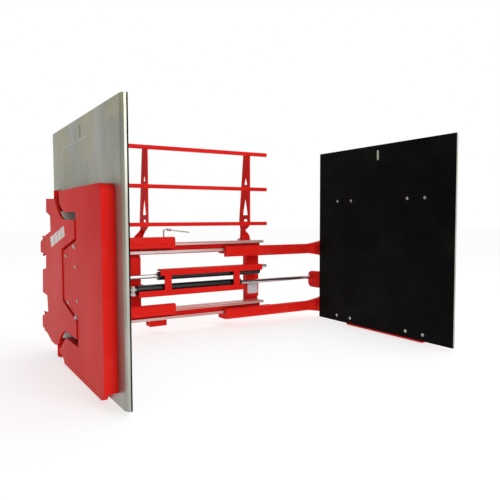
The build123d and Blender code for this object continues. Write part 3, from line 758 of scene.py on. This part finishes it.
def makePadHardware(word):
    side = sides[word]
    body = word + "_pad"
    sizes, seeds = padHardware, padHardware["seeds"]
    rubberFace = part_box(word + "_pad_rubber")[0 if side > 0 else 1].x
    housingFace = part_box(word + "_pad_housing")[1 if side > 0 else 0].x
    outward = (side, 0, 0)
    screwX = rubberFace + side * sizes["screwSink"]
    screws = [((screwX, column, row), (-side, 0, 0)) for column in sizes["screwColumns"]
              for row in sizes["screwRows"]]
    placeFasteners(word + "PadScrews", body, "zinc_steel", "countersunkHead", sizes["screwSize"], screws,
                   seeds["screws"], [word + "_pad_screws"])
    big = [((housingFace, y, z), outward) for y, z in sizes["bigBolts"]]
    placeFasteners(word + "HousingBolts", body, "zinc_steel", "hexHead", sizes["bigSize"], big,
                   seeds["big"], [word + "_housing_bolts"])
    small = [((housingFace, y, z), outward) for y, z in sizes["smallBolts"]]
    placeFasteners(word + "HousingSmallBolts", body, "zinc_steel", "hexHead", sizes["smallSize"], small,
                   seeds["small"])
    plugs = [((housingFace + side * sizes["plugProud"], y, z), outward) for y, z in sizes["plugs"]]
    placeFasteners(word + "HousingPlugs", body, "black_paint", "countersunkHead", sizes["plugSize"], plugs,
                   seeds["plugs"])


frameHardware = {
    "footBolts": {"size": 0.0105, "spread": (-0.016, 0.050), "y": -0.011, "postX": 0.374, "seed": 11},
    "hookBolts": {"size": 0.0120, "spread": 0.032, "x": 0.273, "y": -0.016, "sink": 0.0136, "seed": 13},
    "rivets": {"size": 0.0028, "inset": 0.007, "seed": 15},
}


def makeFrameHardware():
    foot = frameHardware["footBolts"]
    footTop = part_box("backrest_bolts")[0].z
    spots = [((side * (foot["postX"] + offset), foot["y"], footTop), (0, 0, 1))
             for side in sides.values() for offset in foot["spread"]]
    placeFasteners("backrestBolts", "frame", "zinc_steel", "hexHead", foot["size"], spots, foot["seed"],
                   ["backrest_bolts"])
    hook = frameHardware["hookBolts"]
    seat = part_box("lower_hooks")[0].z + hook["sink"]
    spots = [((side * hook["x"] + offset, hook["y"], seat), (0, 0, -1))
             for side in sides.values() for offset in (-hook["spread"], hook["spread"])]
    placeFasteners("lowerHookScrews", "frame", "zinc_steel", "capHead", hook["size"], spots, hook["seed"],
                   ["lower_hook_bolts"])
    rivet = frameHardware["rivets"]
    low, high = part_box("name_plate")
    inset = rivet["inset"]
    spots = [((x, low.y, z), (0, -1, 0)) for x in (low.x + inset, high.x - inset)
             for z in (low.z + inset, high.z - inset)]
    placeFasteners("plateRivets", "frame", "zinc_steel", "rivetHead", rivet["size"], spots, rivet["seed"])


# black blocks set into the backrest tube ends are painted shade, not real plugs
tubeShadePlugs = {"bars": ("top", "middle", "bottom"), "inset": 0.0022, "proud": 0.0006, "sunk": 0.004}


def addBlock(shape, low, high):
    corners = [shape.verts.new((x, y, z)) for x in (low[0], high[0]) for y in (low[1], high[1])
               for z in (low[2], high[2])]
    for loop in ((0, 1, 3, 2), (4, 6, 7, 5), (0, 4, 5, 1), (2, 3, 7, 6), (0, 2, 6, 4), (1, 5, 7, 3)):
        shape.faces.new([corners[index] for index in loop])


def solidPiece(name, shape, material, body, slot):
    mesh = bpy.data.meshes.new(name)
    bmesh.ops.recalc_face_normals(shape, faces=shape.faces)
    shape.to_mesh(mesh)
    shape.free()
    mesh.materials.append(material)
    return mounted(linked(name, mesh), body, slot)


def makeTubeShadePlugs():
    # black blocks in the backrest tube ends are painted shade for the dark inside of the open tubes
    shape = bmesh.new()
    inset = tubeShadePlugs["inset"]
    for bar in tubeShadePlugs["bars"]:
        low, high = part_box(f"backrest_{bar}_bar")
        for near, far in ((low.x - tubeShadePlugs["proud"], low.x + tubeShadePlugs["sunk"]),
                          (high.x - tubeShadePlugs["sunk"], high.x + tubeShadePlugs["proud"])):
            addBlock(shape, (near, low.y + inset, low.z + inset), (far, high.y - inset, high.z - inset))
    solidPiece("backrestEndPlugs", shape, materials["black_paint"], "frame", "black_paint")


decal = {
    "thick": 0.0004,
    "corners": [(-0.400, 0.086), (-0.716, 0.150), (-0.730, 0.101), (-0.424, 0.034)],
    "gaps": [0.28, 0.54, 0.78],
    "gap": 0.03,
}


def makeDecal():
    # slanted pale bars in place of lettering
    shape = bmesh.new()
    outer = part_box("left_link_plate")[0].x
    rearTop, frontTop, frontLow, rearLow = [Vector((0, y, z)) for y, z in decal["corners"]]
    stops = [0.0] + [edge for gap in decal["gaps"] for edge in (gap, gap + decal["gap"])] + [1.0]
    for start, end in zip(stops[::2], stops[1::2]):
        ring = [rearTop.lerp(frontTop, start), rearTop.lerp(frontTop, end), rearLow.lerp(frontLow, end),
                rearLow.lerp(frontLow, start)]
        back = [shape.verts.new((outer + decal["thick"], point.y, point.z)) for point in ring]
        front = [shape.verts.new((outer - decal["thick"], point.y, point.z)) for point in ring]
        shape.faces.new(back)
        shape.faces.new(front)
        for index in range(len(ring)):
            after = (index + 1) % len(ring)
            shape.faces.new((back[index], back[after], front[after], front[index]))
    solidPiece("plainDecal", shape, decalFilm, "left_arm", "slide_plastic")


for word in sides:
    makePadHardware(word)
makeFrameHardware()
makeTubeShadePlugs()
makeDecal()
print("fasteners placed")


# weld beads, laid along seams by geometry nodes

welds = {
    "bead": 0.0032,
    "pitch": 0.0034,
    "fineness": 2,
    "beadScale": ((0.85, 0.85, 0.55), (1.15, 1.15, 0.75)),
    "tubeInset": 0.001,
    "footSpan": (-0.029, -0.003),
    "uprightInset": 0.002,
    "hookStarts": (-0.265, 0.135),
    "hookSpan": (0.004, 0.126),
    # along Z on the back of the cylinder anchors: (x, low, high)
    "anchorSeams": ((0.405, -0.214, -0.158), (0.462, -0.214, -0.158),
                    (-0.444, -0.296, -0.240), (-0.400, -0.296, -0.240)),
    "beamBack": -0.1185,
    "lugInset": 0.02,
    "earDepth": (-0.464, -0.404),
    "earHeights": ((0.221, 0.244), (-0.475, -0.452)),
    "stitch": 0.05,
    "stitches": 6,
    "stitchInset": 0.025,
    "seeds": {"frame": 21, "arm": 23, "pad": 25},
}


def makeWeldTree():
    tree, given, result = newTree("weldBeads", [("Bead", "Float"), ("Pitch", "Float"), ("Seed", "Int"),
                                                ("Finish", "Material")])
    path = tree.nodes.new("GeometryNodeMeshToCurve")
    steps = tree.nodes.new("GeometryNodeResampleCurve")
    steps.mode = "LENGTH"
    drop = tree.nodes.new("GeometryNodeMeshIcoSphere")
    drop.inputs["Subdivisions"].default_value = welds["fineness"]
    tangent = tree.nodes.new("GeometryNodeInputTangent")
    aligned = tree.nodes.new("FunctionNodeAlignRotationToVector")
    aligned.axis = "Z"
    size = tree.nodes.new("FunctionNodeRandomValue")
    size.data_type = "FLOAT_VECTOR"
    lowest, highest = [s for s in size.inputs if s.type == "VECTOR"][:2]
    lowest.default_value, highest.default_value = welds["beadScale"]
    placed = tree.nodes.new("GeometryNodeInstanceOnPoints")
    real = tree.nodes.new("GeometryNodeRealizeInstances")
    finished = tree.nodes.new("GeometryNodeSetMaterial")
    wires = [
        (given["Geometry"], path.inputs["Mesh"]),
        (path.outputs["Curve"], steps.inputs["Curve"]),
        (given["Pitch"], steps.inputs["Length"]),
        (given["Bead"], drop.inputs["Radius"]),
        (tangent.outputs["Tangent"], aligned.inputs["Vector"]),
        (given["Seed"], size.inputs["Seed"]),
        (steps.outputs["Curve"], placed.inputs["Points"]),
        (drop.outputs["Mesh"], placed.inputs["Instance"]),
        (aligned.outputs["Rotation"], placed.inputs["Rotation"]),
        ([s for s in size.outputs if s.type == "VECTOR"][0], placed.inputs["Scale"]),
        (placed.outputs["Instances"], real.inputs["Geometry"]),
        (real.outputs["Geometry"], finished.inputs["Geometry"]),
        (given["Finish"], finished.inputs["Material"]),
        (finished.outputs["Geometry"], result),
    ]
    wired(tree, wires)
    return tree


weldTree = makeWeldTree()


def layWelds(name, body, seams, seed):
    points, edges = [], []
    for seam in seams:
        start = len(points)
        points.extend(seam)
        edges.extend((start + step, start + step + 1) for step in range(len(seam) - 1))
    mesh = bpy.data.meshes.new(name + "Seams")
    mesh.from_pydata(points, edges, [])
    source = linked(name + "Source", mesh)
    finish = materials["red_paint"]
    runTree(weldTree, source, {"Bead": welds["bead"], "Pitch": welds["pitch"], "Seed": seed, "Finish": finish})
    piece = baked(source, name, finish)
    piece.data.shade_smooth()
    return mounted(piece, body, "red_paint")


def frameSeams():
    seams = []
    inset = welds["tubeInset"]
    for word in sides:
        low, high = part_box(word + "_backrest_post")
        for x in (low.x, high.x):
            for bar in ("top", "middle", "bottom"):
                tubeLow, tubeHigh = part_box(f"backrest_{bar}_bar")
                seams.append([(x, low.y, tubeLow.z + inset), (x, low.y, min(tubeHigh.z, high.z) - inset)])
            seams.append([(x, y, low.z) for y in welds["footSpan"]])
        low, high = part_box(word + "_upright")
        lower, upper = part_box("lower_rail"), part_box("upper_rail")
        ends = (low.x + welds["uprightInset"], high.x - welds["uprightInset"])
        for z in (lower[1].z, upper[0].z):
            seams.append([(x, lower[1].y, z) for x in ends])
    low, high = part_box("upper_hooks")
    for start in welds["hookStarts"]:
        seams.append([(start + offset, low.y, high.z) for offset in welds["hookSpan"]])
    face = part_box("cylinder_anchors")[1].y
    for x, bottom, top in welds["anchorSeams"]:
        seams.append([(x, face, bottom), (x, face, top)])
    return seams


def armSeams(word):
    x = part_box(word + "_upper_beam")[1 if sides[word] > 0 else 0].x
    back = welds["beamBack"]
    seams = []
    for beam in ("_upper_beam", "_lower_beam"):
        low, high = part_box(word + beam)
        seams.append([(x, back, low.z), (x, low.y, low.z), (x, low.y, high.z), (x, back, high.z)])
    low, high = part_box(word + "_rod_lug")
    seams.append([(x, low.y, low.z + welds["lugInset"]), (x, low.y, high.z - welds["lugInset"])])
    near, far = welds["earDepth"]
    for bottom, top in welds["earHeights"]:
        seams.append([(x, near, bottom), (x, far, bottom), (x, far, top), (x, near, top), (x, near, bottom)])
    return seams


def padSeams(word):
    low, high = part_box(word + "_pad_bar")
    x = high.x if sides[word] > 0 else low.x
    inset = welds["stitchInset"]
    run = (high.y - low.y - 2 * inset - welds["stitch"]) / (welds["stitches"] - 1)
    starts = [low.y + inset + run * step for step in range(welds["stitches"])]
    return [[(x, start, high.z), (x, start + welds["stitch"], high.z)] for start in starts]


layWelds("frameWelds", "frame", frameSeams(), welds["seeds"]["frame"])
for word in sides:
    layWelds(word + "ArmWelds", word + "_arm", armSeams(word), welds["seeds"]["arm"])
    layWelds(word + "PadWelds", word + "_pad", padSeams(word), welds["seeds"]["pad"])
print("welds laid")
